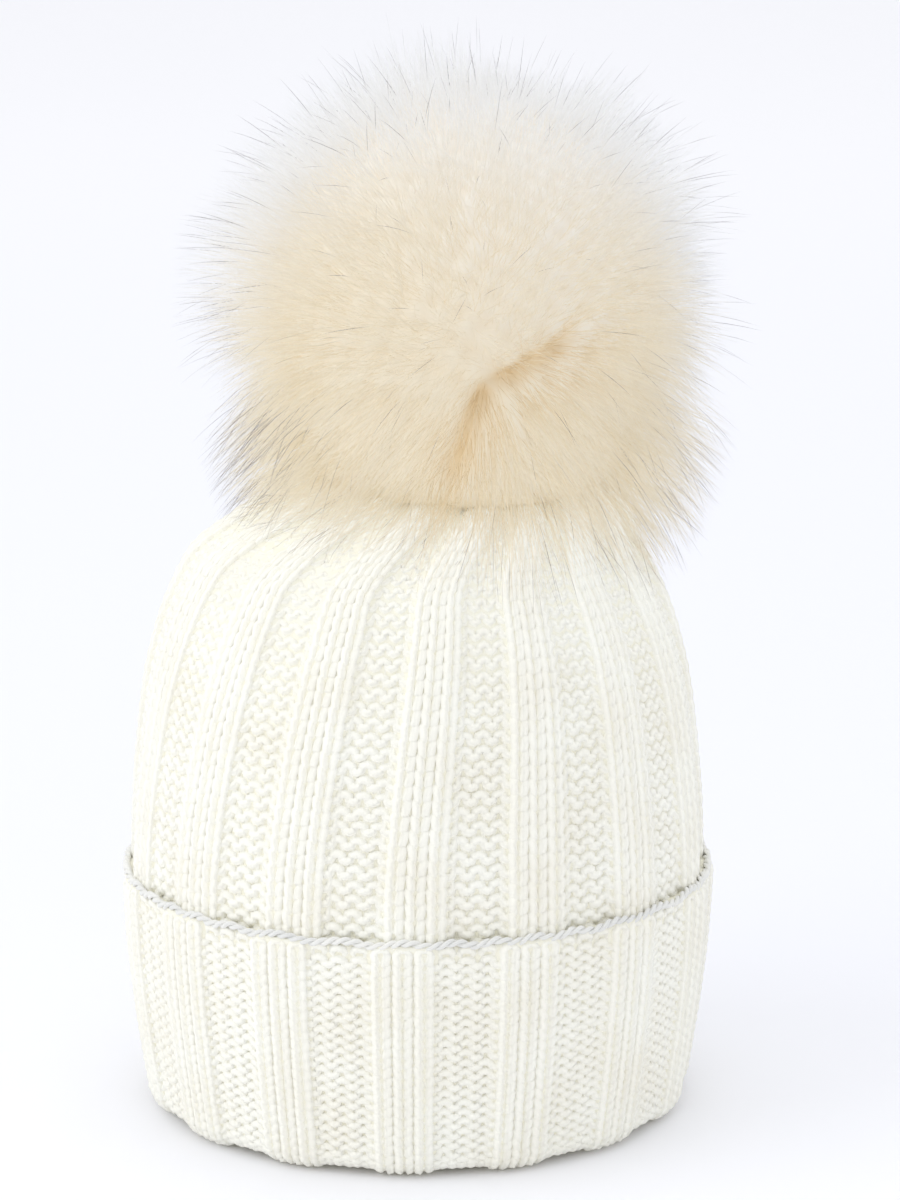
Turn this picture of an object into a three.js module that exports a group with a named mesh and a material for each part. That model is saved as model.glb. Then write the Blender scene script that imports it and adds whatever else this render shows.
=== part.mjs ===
// Pom pom beanie: a ribbed knitted hat with a turned-up cuff and a faux fur ball that snaps onto its crown.
// Millimetres, +Z up. The origin is on the floor under the middle of the hat, and -Y is the front.
import * as THREE from "three";

// ---- driving dimensions ----
const GAP = 0.3; // clearance between pieces that touch
const SIDES = 48; // facets round the hat
const DEPTH_RATIO = 0.93; // a head is longer one way than the other

const BALL_SIDES = 32; // facets round the ball
const BODY_STEPS = 17; // facets up the hat
const CROWN_STEP = 11; // the facet where the straight sides end and the crown starts

const KNIT = 5.0; // thickness of the knit on its raised ribs
const CUFF_KNIT = 4.4; // and of the cuff, which is stretched a little over the body
const LAYER_GAP = 1.6; // room between the body and the turned-up cuff
const CUFF_HEIGHT = 84;
const CUFF_TOP_RADIUS = 99.5;
const CUFF_FOOT_RADIUS = 91;
const CUFF_CORNER = 8; // radius of the bottom fold's outer corner
const CUFF_EDGE_RADIUS = 2.2;
const FOLD_HEIGHT = 5; // how far the cuff's fold turns up inside the hat

const CROWN_HEIGHT = 224; // top of the knit, where the ribs are gathered
const CROWN_EYELET = 4; // hole left by the gathered stitches
const EYELET_LIP = 3; // width of the rounded edge of that hole
const EYELET_DROP = 0.6; // and how far it falls towards the hole
const CROWN_LEAN = 16; // the gathered point sits this far towards +X
const LEAN_START = 176; // heights where the crown starts to lean and where it has leant all the way
const LEAN_END = 216;

const SEAM_WIDTH = 5;
const SEAM_THICKNESS = 2.4;
const SEAM_CLEARANCE = 0.5; // between the knit and the seam's ridge
const CUFF_SEAM_THICKNESS = 0.9;
const LABEL_WIDTH = 22;
const LABEL_THICKNESS = 1;
const LABEL_HEIGHT = 40;
const LABEL_FOOT = 26;
const LABEL_RADIUS = 79;
const THREAD_RADIUS = 1; // of the gathering thread and of the ball's drawn cord
const THREAD_RING = 10;
const THREAD_CLEARANCE = 1.6; // between the puckered underside of the crown and the thread

const SNAP_RADIUS = 7;
const POST_RADIUS = 2;
const POST_SET = 1.2; // how far a post goes into its stud
const CAP_THICKNESS = 1.8;
const STUD_FLANGE = 1;
const STUD_NECK_RADIUS = 2.9;
const STUD_NECK_TOP = 2.6;
const STUD_BULGE_RADIUS = 3.1;
const STUD_BULGE_HEIGHT = 3.4;
const STUD_HEAD_RADIUS = 2.6;
const STUD_HEAD_EDGE = 4.2;
const STUD_HEAD_TOP = 4.6;
const SOCKET_HEIGHT = 4.6;
const SOCKET_WALL = 0.8;
const CAVITY_RADIUS = 4.7;
const RING_SECTION = 0.45;
const RING_HEIGHT = 1.95; // above the stud's foot, at its neck
const PATCH_RADIUS = 17;
const PATCH_THICKNESS = 1.5;

const POM_CENTRE = 273; // height of the ball's middle
const POM_WIDE = 83; // radius of the fur across
const POM_TALL = 77; // radius of the fur up and down
const CORE_RADIUS = 44; // outside of the backing cloth
const SKIN = 1.8;
const BASE_RADIUS = 17;
const BASE_THICKNESS = 2;
const CORE_MOUTH = 19.6; // radius of the opening in the backing cloth
const FUR_MOUTH = 21.1;
const FUR_CLEARANCE = 5.5; // between the fur and the crown

// ---- finishes ----
const finish = (color, roughness, metalness = 0) =>
  new THREE.MeshStandardMaterial({ color, roughness, metalness });
const ivoryYarn = finish("#f3f1e2", 0.95);
const edgeYarn = finish("#eef0ec", 0.95);
const creamFur = finish("#e9dcc0", 0.8);
const backing = finish("#e6dcc6", 0.95);
const fibreFill = finish("#f6f5f0", 1);
const felt = finish("#e8e2d0", 1);
const satin = finish("#f4f3ee", 0.45);
const nickel = finish("#b9babc", 0.3, 1);

const beanie = new THREE.Group();

function place(name, geometry, material) {
  const mesh = new THREE.Mesh(geometry, material);
  mesh.name = name;
  beanie.add(mesh);
  return mesh;
}

// A closed ring of revolution about Z from a closed outline of [radius, height] points, anticlockwise.
function revolve(outline, sides = SIDES) {
  const profile = [...outline, outline[0]].map(([r, z]) => new THREE.Vector2(r, z));
  return new THREE.LatheGeometry(profile, sides).rotateX(Math.PI / 2);
}

// The points of a smooth curve through a few [radius, height] knots.
function smooth(knots, steps) {
  const curve = new THREE.CatmullRomCurve3(knots.map(([r, z]) => new THREE.Vector3(r, z, 0)));
  return curve.getSpacedPoints(steps).map((p) => [p.x, p.y]);
}

// A round arc of [radius, height] points, angles in degrees from the outward direction.
function arc(r, z, radius, from, to, steps) {
  return Array.from({ length: steps + 1 }, (_, i) => {
    const a = THREE.MathUtils.degToRad(from + ((to - from) * i) / steps);
    return [r + radius * Math.cos(a), z + radius * Math.sin(a)];
  });
}

// How far the crown has leant towards +X at a height.
function lean(z) {
  const t = THREE.MathUtils.clamp((z - LEAN_START) / (LEAN_END - LEAN_START), 0, 1);
  return CROWN_LEAN * t * t * (3 - 2 * t);
}

// Squeezes a ring front to back, and leans its upper part as the crown does.
function headShape(geometry) {
  const position = geometry.getAttribute("position");
  for (let i = 0; i < position.count; i++) {
    const z = position.getZ(i);
    position.setXYZ(i, position.getX(i) + lean(z), position.getY(i) * DEPTH_RATIO, z);
  }
  return geometry;
}

// ---- the knitted body ----
// Outside of the body from the hem up to the eyelet, as [radius, height].
const bodyOutside = smooth(
  [
    [85.4, KNIT + GAP],
    [90.6, 40],
    [93.6, 82],
    [94.3, 100],
    [93, 120],
    [88, 153],
    [82.6, 171],
    [72, 191],
    [58, 205],
    [40, 215.5],
    [22, 221.5],
    [CROWN_EYELET + EYELET_LIP, CROWN_HEIGHT],
  ],
  BODY_STEPS,
);

// The same curve moved inwards by a distance along its own normal.
function offset(points, distance) {
  return points.map(([r, z], i) => {
    const [ra, za] = points[Math.max(i - 1, 0)];
    const [rb, zb] = points[Math.min(i + 1, points.length - 1)];
    const length = Math.hypot(rb - ra, zb - za);
    return [r - (distance * (zb - za)) / length, z + (distance * (rb - ra)) / length];
  });
}

const bodyInside = offset(bodyOutside, KNIT);
bodyInside[0] = [bodyOutside[0][0] - KNIT, KNIT + GAP];
const crownUnderside = bodyInside.at(-1)[1];
bodyInside[bodyInside.length - 1] = [CROWN_EYELET, crownUnderside];

// The straight sides, and the crown above them where the ribs are taken in.
function knitSides() {
  const outside = bodyOutside.slice(0, CROWN_STEP + 1);
  const inside = bodyInside.slice(0, CROWN_STEP + 1);
  return headShape(revolve([...outside, ...inside.toReversed()]));
}
place("knit_body", knitSides(), ivoryYarn);

function knitCrown() {
  const outside = bodyOutside.slice(CROWN_STEP);
  const inside = bodyInside.slice(CROWN_STEP);
  outside[0] = [outside[0][0], outside[0][1] + GAP];
  inside[0] = [inside[0][0], inside[0][1] + GAP];
  const eyelet = [CROWN_EYELET, CROWN_HEIGHT - EYELET_DROP];
  return headShape(revolve([...outside, eyelet, ...inside.toReversed()]));
}
place("knit_crown", knitCrown(), ivoryYarn);

// ---- the turned-up cuff ----
// The cuff's outside radius at a height, and the lip of its bottom fold that runs in under the body.
const cuffRadius = (z) =>
  CUFF_FOOT_RADIUS + (CUFF_TOP_RADIUS - CUFF_FOOT_RADIUS) * Math.sin((z / CUFF_HEIGHT) * (Math.PI / 2));
const CUFF_TOP = CUFF_HEIGHT - 2 * CUFF_EDGE_RADIUS - GAP;

function cuffRing() {
  const foot = arc(CUFF_FOOT_RADIUS - CUFF_CORNER + 0.5, CUFF_CORNER, CUFF_CORNER, -90, -10, 5);
  const wall = [18, 30, 42, 56, 68, CUFF_TOP].map((z) => [cuffRadius(z), z]);
  const inner = wall.toReversed().map(([r, z]) => [r - CUFF_KNIT, z]);
  const lip = [
    [bodyOutside[0][0] + LAYER_GAP, FOLD_HEIGHT],
    [bodyInside[0][0] - 0.5, FOLD_HEIGHT],
    [bodyInside[0][0] - 2, FOLD_HEIGHT / 2],
    [bodyInside[0][0] - 0.5, 0],
  ];
  return headShape(revolve([...foot, ...wall, ...inner, ...lip]));
}
place("cuff", cuffRing(), ivoryYarn);

function cuffEdge() {
  const r = cuffRadius(CUFF_TOP) - CUFF_EDGE_RADIUS;
  const z = CUFF_HEIGHT - CUFF_EDGE_RADIUS;
  return headShape(revolve(arc(r, z, CUFF_EDGE_RADIUS, 0, 315, 7)));
}
place("cuff_edge", cuffEdge(), edgeYarn);

// ---- seams and label at the back, +Y ----
// A strip of rectangular section swept up the back, at a distance from the body's surface.
function backStrip(path, width, thickness, steps) {
  const section = new THREE.Shape();
  section.moveTo(-width / 2, -thickness / 2);
  section.lineTo(width / 2, -thickness / 2);
  section.lineTo(width / 2, thickness / 2);
  section.lineTo(-width / 2, thickness / 2);
  section.closePath();
  const points = path.map(([r, z]) => new THREE.Vector3(lean(z), r * DEPTH_RATIO, z));
  return new THREE.ExtrudeGeometry(section, {
    steps,
    bevelEnabled: false,
    extrudePath: new THREE.CatmullRomCurve3(points),
  });
}

// The body's seam runs up the inside of the straight sides and the start of the crown.
const seamDepth = KNIT + GAP + SEAM_THICKNESS / 2 + SEAM_CLEARANCE;
const seamPath = offset(bodyOutside, seamDepth).slice(1, CROWN_STEP + 2);
place("back_seam", backStrip(seamPath, SEAM_WIDTH, SEAM_THICKNESS, 24), ivoryYarn);

const cuffSeamDepth = CUFF_KNIT + GAP + CUFF_SEAM_THICKNESS;
const cuffSeamPath = [14, 30, 48, 66, CUFF_TOP - 4].map((z) => [cuffRadius(z) - cuffSeamDepth, z]);
place("cuff_seam", backStrip(cuffSeamPath, SEAM_WIDTH, CUFF_SEAM_THICKNESS, 8), ivoryYarn);

function careLabel() {
  const tab = new THREE.BoxGeometry(LABEL_WIDTH, LABEL_THICKNESS, LABEL_HEIGHT);
  return tab.translate(0, LABEL_RADIUS * DEPTH_RATIO, LABEL_FOOT + LABEL_HEIGHT / 2);
}
place("care_label", careLabel(), satin);

// ---- crown fastening ----
const crownX = lean(CROWN_HEIGHT);
const atCrown = (geometry, z) => geometry.translate(crownX, 0, z);

function gatherThread() {
  const ring = revolve(arc(THREAD_RING, -THREAD_RADIUS, THREAD_RADIUS, 0, 315, 7), 32);
  return atCrown(ring, crownUnderside - GAP - THREAD_CLEARANCE);
}
place("crown_gather_thread", gatherThread(), ivoryYarn);

const patchTop = crownUnderside - 2 * GAP - 2 * THREAD_RADIUS - THREAD_CLEARANCE;
function crownPatch() {
  const bottom = patchTop - PATCH_THICKNESS;
  const hole = POST_RADIUS + GAP;
  const disc = revolve([[hole, bottom], [PATCH_RADIUS, bottom], [PATCH_RADIUS, patchTop], [hole, patchTop]], 40);
  return atCrown(disc, 0);
}
place("crown_patch", crownPatch(), felt);

const studBase = CROWN_HEIGHT + GAP;
const capTop = patchTop - PATCH_THICKNESS - GAP;

// A domed disc with a post standing on it, both one turned piece.
function capAndPost(top, postTop, discRadius, postRadius, sides) {
  return revolveSolid(
    [
      [0, top - CAP_THICKNESS],
      [discRadius * 0.6, top - CAP_THICKNESS],
      [discRadius * 0.92, top - CAP_THICKNESS * 0.6],
      [discRadius, top],
      [postRadius, top],
      [postRadius, postTop],
      [0, postTop],
    ],
    sides,
  );
}

// A turned solid whose outline starts and ends on the axis.
function revolveSolid(outline, sides) {
  const profile = outline.map(([r, z]) => new THREE.Vector2(r, z));
  return new THREE.LatheGeometry(profile, sides).rotateX(Math.PI / 2);
}

place("snap_cap", atCrown(capAndPost(capTop, studBase + POST_SET, SNAP_RADIUS, POST_RADIUS, 32), 0), nickel);

// The stud: a flange on the crown with a waisted, round-headed button over a blind hole for the post.
function snapStud() {
  const blind = POST_SET + GAP;
  const outline = [
    [0, blind],
    [POST_RADIUS + GAP, blind],
    [POST_RADIUS + GAP, 0],
    [SNAP_RADIUS, 0],
    [SNAP_RADIUS, STUD_FLANGE],
    [STUD_NECK_RADIUS, STUD_FLANGE],
    [STUD_NECK_RADIUS, STUD_NECK_TOP],
    [STUD_BULGE_RADIUS, STUD_BULGE_HEIGHT],
    [STUD_HEAD_RADIUS, STUD_HEAD_EDGE],
    [0, STUD_HEAD_TOP],
  ];
  return atCrown(revolveSolid(outline, 32), studBase);
}
place("snap_stud", snapStud(), nickel);

// ---- the ball's half of the snap ----
// The socket is a cup, open below, that drops over the stud and keeps a ring spring round its neck.
const socketFloor = studBase + STUD_FLANGE + GAP;

function snapRing() {
  const r = STUD_NECK_RADIUS + GAP + RING_SECTION;
  return atCrown(revolve(arc(r, 0, RING_SECTION, 0, 315, 7), 32), studBase + RING_HEIGHT);
}
place("snap_ring", snapRing(), nickel);

const socketTop = socketFloor + SOCKET_HEIGHT;
function snapSocket() {
  const outline = [
    [0, socketTop - SOCKET_WALL],
    [CAVITY_RADIUS, socketTop - SOCKET_WALL],
    [CAVITY_RADIUS, socketFloor],
    [SNAP_RADIUS, socketFloor],
    [SNAP_RADIUS, socketTop],
    [0, socketTop],
  ];
  return atCrown(revolveSolid(outline, 32), 0);
}
place("snap_socket", snapSocket(), nickel);

const baseBottom = socketTop + GAP;
const baseTop = baseBottom + BASE_THICKNESS;
function pomBase() {
  const hole = POST_RADIUS + GAP;
  return atCrown(
    revolve([[hole, baseBottom], [BASE_RADIUS, baseBottom], [BASE_RADIUS, baseTop], [hole, baseTop]], 40),
    0,
  );
}
place("pom_base", pomBase(), felt);

// The socket's cap sits on the base inside the ball, with its post pointing down to the socket.
function socketCap() {
  const cap = capAndPost(0, baseTop - baseBottom + GAP, SNAP_RADIUS, POST_RADIUS, 32);
  cap.rotateX(Math.PI);
  return atCrown(cap, baseTop + GAP);
}
place("socket_cap", socketCap(), nickel);

// ---- the ball ----
// The backing cloth: a hollow ball with a round opening below, closed by the base disc.
function pomSkin() {
  const inner = CORE_RADIUS - SKIN;
  const lowOut = -THREE.MathUtils.radToDeg(Math.acos(CORE_MOUTH / CORE_RADIUS));
  const lowIn = -THREE.MathUtils.radToDeg(Math.acos(CORE_MOUTH / inner));
  const outside = arc(0, 0, CORE_RADIUS, lowOut, 90, 12);
  const inside = arc(0, 0, inner, 90, lowIn, 12);
  return atCrown(revolveSolidShell(outside, inside), POM_CENTRE);
}

// A shell of revolution whose two walls both reach the axis at the top.
function revolveSolidShell(outside, inside) {
  const onAxis = ([r, z]) => [Math.abs(r) < 1e-6 ? 0 : r, z];
  const profile = [...outside, ...inside].map(onAxis).map(([r, z]) => new THREE.Vector2(r, z));
  return new THREE.LatheGeometry([...profile, profile[0]], BALL_SIDES).rotateX(Math.PI / 2);
}
place("pom_skin", pomSkin(), backing);

// The fibre fill: a ball cut flat over the base and hollowed for the socket's cap.
function pomStuffing() {
  const radius = CORE_RADIUS - SKIN - GAP;
  const flat = baseTop + GAP + CAP_THICKNESS + GAP - POM_CENTRE;
  const start = -THREE.MathUtils.radToDeg(Math.asin(-flat / radius));
  const round = arc(0, 0, radius, start, 90, 12);
  round[round.length - 1][0] = 0;
  return atCrown(revolveSolid([[0, flat], ...round], BALL_SIDES), POM_CENTRE);
}
place("pom_stuffing", pomStuffing(), fibreFill);

// The fur's outer outline is a flattened ball whose underside lifts to stand clear of the crown.

// The hat's highest surface at a distance from the snap's axis, on the side that leans out furthest.
function crownTop(distance) {
  let top = -Infinity;
  for (const [r, z] of bodyOutside) if (r + lean(CROWN_HEIGHT) - lean(z) >= distance) top = Math.max(top, z);
  return top;
}

function pomFur() {
  const lower = [];
  for (let r = FUR_MOUTH; r < POM_WIDE * 0.93; r += 8) {
    const ball = -POM_TALL * Math.sqrt(1 - (r / POM_WIDE) ** 2);
    lower.push([r, Math.max(ball, crownTop(r) + FUR_CLEARANCE - POM_CENTRE)]);
  }
  const side = [];
  for (let a = -15; a < 90; a += 15) {
    const t = THREE.MathUtils.degToRad(a);
    side.push([POM_WIDE * Math.cos(t), POM_TALL * Math.sin(t)]);
  }
  const innerRadius = CORE_RADIUS + GAP;
  const mouth = -THREE.MathUtils.radToDeg(Math.acos(FUR_MOUTH / innerRadius));
  const inside = arc(0, 0, innerRadius, 90, mouth, 12);
  return atCrown(revolveSolidShell([...lower, ...side, [0, POM_TALL]], inside), POM_CENTRE);
}
place("pom_fur", pomFur(), creamFur);

// The drawn cord lies in the fur's mouth, round the gathered edge of the backing cloth.
function pomDrawstring() {
  const r = BASE_RADIUS + GAP + THREAD_RADIUS;
  return atCrown(revolve(arc(r, 0, THREAD_RADIUS, 0, 315, 7), 40), baseBottom + THREAD_RADIUS);
}
place("pom_drawstring", pomDrawstring(), backing);

export default beanie;
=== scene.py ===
"""Pom pom beanie: ribbed knit with a turned-up cuff, and a faux fur ball on a snap. Metres, +Z up, front at -Y."""
import math

import bpy
import numpy as np
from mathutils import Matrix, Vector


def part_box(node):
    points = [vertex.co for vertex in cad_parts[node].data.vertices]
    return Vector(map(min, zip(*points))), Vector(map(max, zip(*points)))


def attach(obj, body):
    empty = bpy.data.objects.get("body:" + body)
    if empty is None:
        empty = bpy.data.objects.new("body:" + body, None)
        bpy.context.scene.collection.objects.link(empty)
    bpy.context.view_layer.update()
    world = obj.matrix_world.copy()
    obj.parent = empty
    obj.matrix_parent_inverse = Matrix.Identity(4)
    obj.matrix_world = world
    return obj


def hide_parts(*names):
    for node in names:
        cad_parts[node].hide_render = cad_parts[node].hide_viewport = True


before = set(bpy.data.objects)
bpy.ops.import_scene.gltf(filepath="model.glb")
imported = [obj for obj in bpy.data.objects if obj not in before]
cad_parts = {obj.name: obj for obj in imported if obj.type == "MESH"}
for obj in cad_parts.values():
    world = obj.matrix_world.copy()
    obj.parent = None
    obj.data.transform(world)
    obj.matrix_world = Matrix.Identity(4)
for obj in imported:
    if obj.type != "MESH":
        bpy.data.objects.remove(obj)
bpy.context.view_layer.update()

MM = 0.001
TURN = 2 * math.pi
rng = np.random.default_rng(20)

# ---- the hat, in millimetres as its maker would measure it ----
DEPTH_RATIO = 0.93              # the head's oval, front to back
CROWN_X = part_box("snap_stud")   # the snap sits over the gathered point
CROWN_X = (CROWN_X[0][0] + CROWN_X[1][0]) / 2 / MM
CROWN_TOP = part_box("knit_crown")[1][2] / MM
LEAN_START, LEAN_END = 186.0, CROWN_TOP - 4
STITCHES = 90                   # round the hat: fifteen repeats of three knit and three purl
RIB = 3                         # stitches in each panel
YARN = 1.7                      # radius of the yarn
BODY_COURSE = 4.75              # height of a row of stitches on the body
CUFF_COURSE = 3.5               # the cuff's rows sit closer
FRONT = -TURN / 4

BODY_KNOTS = [(85.4, 5.3), (90.6, 40), (95.4, 82), (94.9, 98), (93, 120), (88, 153),
              (82.6, 171), (72, 191), (58, 205), (40, 215.5), (22, 221.5), (7, 224)]
CUFF_FOOT, CUFF_TOP, CUFF_HEIGHT = 91.0, 99.5, 84.0
CUFF_EDGE = 2.2
CORNER = 8.0
BODY_SUNK, BODY_RELIEF, BODY_THICK = 1.4, 1.8, 5.0     # yarn below the outline, panel against panel, knit through
CUFF_SUNK, CUFF_RELIEF, CUFF_THICK = 2.25, 1.6, 6.4
BACKING_RISE = 0.75             # the knit's own surface stands this far above the middle of its yarns
ROWS_START = 77                 # the body's yarns start here, inside the cuff
CUFF_SHIFT = math.radians(2.3)  # the cuff's ribs sit this far round from the body's


# ---- curves and surfaces ----
def smooth_path(knots, count=600):
    """A curve through the knots with each knot's slope taken from its neighbours (cubic Hermite on chord
    length), as points evenly spaced along it."""
    p = np.array(knots, float)
    t = np.concatenate([[0], np.cumsum(np.hypot(*np.diff(p, axis=0).T))])
    slope = np.gradient(p, t, axis=0)
    u = np.linspace(0, t[-1], count)
    i = np.clip(np.searchsorted(t, u, side="right") - 1, 0, len(t) - 2)
    h = (t[i + 1] - t[i])[:, None]
    f = ((u - t[i]) / h[:, 0])[:, None]
    q = ((2 * f**3 - 3 * f**2 + 1) * p[i] + (f**3 - 2 * f**2 + f) * h * slope[i]
         + (3 * f**2 - 2 * f**3) * p[i + 1] + (f**3 - f**2) * h * slope[i + 1])
    return even(q, count)


def even(points, count):
    """The same polyline with its points evenly spaced along its length."""
    s = np.concatenate([[0], np.cumsum(np.hypot(*np.diff(points, axis=0).T))])
    u = np.linspace(0, s[-1], count)
    return np.stack([np.interp(u, s, points[:, 0]), np.interp(u, s, points[:, 1])], 1)


def ease(t):
    t = np.clip(t, 0, 1)
    return t * t * (3 - 2 * t)


def lean(z):
    """How far the crown has leant towards +X at a height."""
    return CROWN_X * ease((z - LEAN_START) / (LEAN_END - LEAN_START))


class Skin:
    """A surface round the hat: an outline of radius and height carried round an oval. Positions on it are an
    angle and a distance along the outline, and a depth along its own normal."""

    def __init__(self, outline, leaning=True):
        self.r, self.z = outline.T
        step = np.hypot(np.diff(self.r), np.diff(self.z))
        self.s = np.concatenate([[0], np.cumsum(step)])
        self.length = self.s[-1]
        self.leaning = leaning

    def at(self, angle, s, depth):
        """Point = (r cos a + lean, ratio r sin a, z) + depth times the unit normal, which is the cross product
        of the two tangents. Returns points and normals in metres."""
        s = np.clip(s, 0, self.length)
        r, z = np.interp(s, self.s, self.r), np.interp(s, self.s, self.z)
        h = 0.5
        r2, z2 = np.interp(s + h, self.s, self.r), np.interp(s + h, self.s, self.z)
        r1, z1 = np.interp(s - h, self.s, self.r), np.interp(s - h, self.s, self.z)
        dr, dz = r2 - r1, z2 - z1
        dx = lean(z2) - lean(z1) if self.leaning else 0 * z
        x0 = lean(z) if self.leaning else 0 * z
        c, k = np.cos(angle), np.sin(angle)
        p = np.stack(np.broadcast_arrays(r * c + x0, DEPTH_RATIO * r * k, z), -1)
        round_ = np.stack(np.broadcast_arrays(-k, DEPTH_RATIO * c, 0 * c), -1)
        up = np.stack(np.broadcast_arrays(dr * c + dx, DEPTH_RATIO * dr * k, dz), -1)
        n = np.cross(round_, up)
        n /= np.linalg.norm(n, axis=-1, keepdims=True)
        return (p + n * np.asarray(depth)[..., None]) * MM, n


def unit(v):
    return v / np.maximum(np.linalg.norm(v, axis=-1, keepdims=True), 1e-12)


# ---- meshes ----
def mesh_piece(name, verts, quads=None, tris=None, uv=None, tint=None, material=None, body="hat"):
    """A piece from arrays: quads and tris are vertex numbers, uv is one pair per face corner, quads first, and
    tint is one colour per vertex."""
    parts = [np.asarray(f, np.int32) for f in (quads, tris) if f is not None and len(f)]
    corners = np.concatenate([f.ravel() for f in parts])
    totals = np.concatenate([np.full(len(f), f.shape[1], np.int32) for f in parts])
    mesh = bpy.data.meshes.new(name)
    mesh.vertices.add(len(verts))
    mesh.vertices.foreach_set("co", np.asarray(verts, np.float32).ravel())
    mesh.loops.add(len(corners))
    mesh.loops.foreach_set("vertex_index", corners)
    mesh.polygons.add(len(totals))
    mesh.polygons.foreach_set("loop_start", np.concatenate([[0], np.cumsum(totals)[:-1]]).astype(np.int32))
    mesh.polygons.foreach_set("loop_total", totals)
    mesh.polygons.foreach_set("use_smooth", np.full(len(totals), True))
    if uv is not None:
        mesh.uv_layers.new(name="along").data.foreach_set("uv", np.asarray(uv, np.float32).ravel())
    if tint is not None:
        colour = mesh.color_attributes.new("tint", "FLOAT_COLOR", "POINT")
        rgba = np.concatenate([tint, np.ones((len(tint), 1))], 1)
        colour.data.foreach_set("color", rgba.astype(np.float32).ravel())
    mesh.update(calc_edges=True)
    mesh.validate()
    piece = bpy.data.objects.new(name, mesh)
    bpy.context.scene.collection.objects.link(piece)
    mesh.materials.append(material)
    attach(piece, body)
    return piece


def loop_yarns(centres, up, radius, sides, twists):
    """Closed tubes, one for each row of centres: a ring of points at each centre, radius times (cos a side +
    sin a up), joined to the next centre's ring and the last to the first. Returns points, quads and uv."""
    rows, steps = centres.shape[:2]
    along = unit(np.roll(centres, -1, 1) - np.roll(centres, 1, 1))
    up = unit(up - along * (up * along).sum(-1, keepdims=True))
    side = np.cross(along, up)
    a = np.arange(sides) * TURN / sides
    ring = (side[:, :, None] * np.cos(a)[:, None] + up[:, :, None] * np.sin(a)[:, None])
    points = centres[:, :, None] + ring * np.broadcast_to(radius, (rows, steps))[:, :, None, None]
    i, j = np.arange(steps)[:, None], np.arange(sides)[None]
    here, there = i * sides, ((i + 1) % steps) * sides
    j2 = (j + 1) % sides
    quad = np.stack([here + j, there + j, there + j2, here + j2], -1).reshape(-1, 4)
    quads = (quad[None] + (np.arange(rows) * steps * sides)[:, None, None]).reshape(-1, 4)
    u0, v0 = np.broadcast_arrays(j / sides, i / steps * twists)
    u1, v1 = u0 + 1 / sides, v0 + twists / steps
    uv = np.stack([np.stack([u0, v0], -1), np.stack([u0, v1], -1), np.stack([u1, v1], -1),
                   np.stack([u1, v0], -1)], 2).reshape(-1, 2)
    return points.reshape(-1, 3), quads, np.tile(uv, (rows, 1))


def grid_faces(rows, columns, wrap_rows=False, wrap_columns=False):
    """The quads of a grid of points, turned so that rows crossed with columns points outwards."""
    i = np.arange(rows if wrap_rows else rows - 1)[:, None]
    j = np.arange(columns if wrap_columns else columns - 1)[None]
    i2, j2 = (i + 1) % rows, (j + 1) % columns
    return np.stack([i * columns + j, i2 * columns + j, i2 * columns + j2, i * columns + j2], -1).reshape(-1, 4)


# ---- finishes ----
def linear(code):
    """A six-figure colour code as linear light."""
    c = np.array([int(code[i:i + 2], 16) for i in (0, 2, 4)]) / 255
    return tuple(np.where(c <= 0.04045, c / 12.92, ((c + 0.055) / 1.055) ** 2.4))


class Finish:
    """A material's node tree, with short calls for the nodes the hat's finishes share."""

    def __init__(self, name, roughness, **values):
        self.material = bpy.data.materials.new(name)
        self.material.use_nodes = True
        self.tree = self.material.node_tree
        self.shader = self.tree.nodes["Principled BSDF"]
        self.shader.inputs["Roughness"].default_value = roughness
        for socket, value in values.items():
            self.shader.inputs[socket.replace("_", " ")].default_value = value

    def node(self, kind, **values):
        n = self.tree.nodes.new("ShaderNode" + kind)
        for key, value in values.items():
            if key[0].isupper():
                n.inputs[key.replace("_", " ")].default_value = value
            else:
                setattr(n, key, value)
        return n

    def link(self, a, b):
        self.tree.links.new(a, b)

    def place(self, scale=(1, 1, 1), turn=(0, 0, 0), uv=False):
        """Object coordinates in metres, or the piece's own uv, scaled."""
        source = self.node("TexCoord")
        mapping = self.node("Mapping", Scale=scale, Rotation=turn)
        self.link(source.outputs["UV" if uv else "Object"], mapping.inputs["Vector"])
        return mapping.outputs["Vector"]

    def noise(self, where, scale, detail=2.0):
        n = self.node("TexNoise", Scale=scale, Detail=detail)
        self.link(where, n.inputs["Vector"])
        return n.outputs["Fac"]

    def between(self, factor, low, high, start=0.3, end=0.7):
        """A colour ramp from low to high as the factor goes from start to end."""
        ramp = self.node("ValToRGB")
        ramp.color_ramp.elements[0].position, ramp.color_ramp.elements[1].position = start, end
        ramp.color_ramp.elements[0].color = (*low, 1)
        ramp.color_ramp.elements[1].color = (*high, 1)
        self.link(factor, ramp.inputs["Fac"])
        return ramp.outputs["Color"]

    def mix(self, factor, a, b, blend="MIX"):
        m = self.node("Mix", data_type="RGBA", blend_type=blend)
        for value, socket in ((factor, m.inputs[0]), (a, m.inputs[6]), (b, m.inputs[7])):
            if hasattr(value, "is_output"):
                self.link(value, socket)
            else:
                socket.default_value = value if isinstance(value, float) else (*value, 1)
        return m.outputs[2]

    def bump(self, height, strength, distance, below=None):
        b = self.node("Bump", Strength=strength, Distance=distance)
        self.link(height, b.inputs["Height"])
        if below is not None:
            self.link(below, b.inputs["Normal"])
        return b.outputs["Normal"]

    def done(self, colour=None, normal=None):
        if colour is not None:
            self.link(colour, self.shader.inputs["Base Color"])
        if normal is not None:
            self.link(normal, self.shader.inputs["Normal"])
        return self.material


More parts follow.
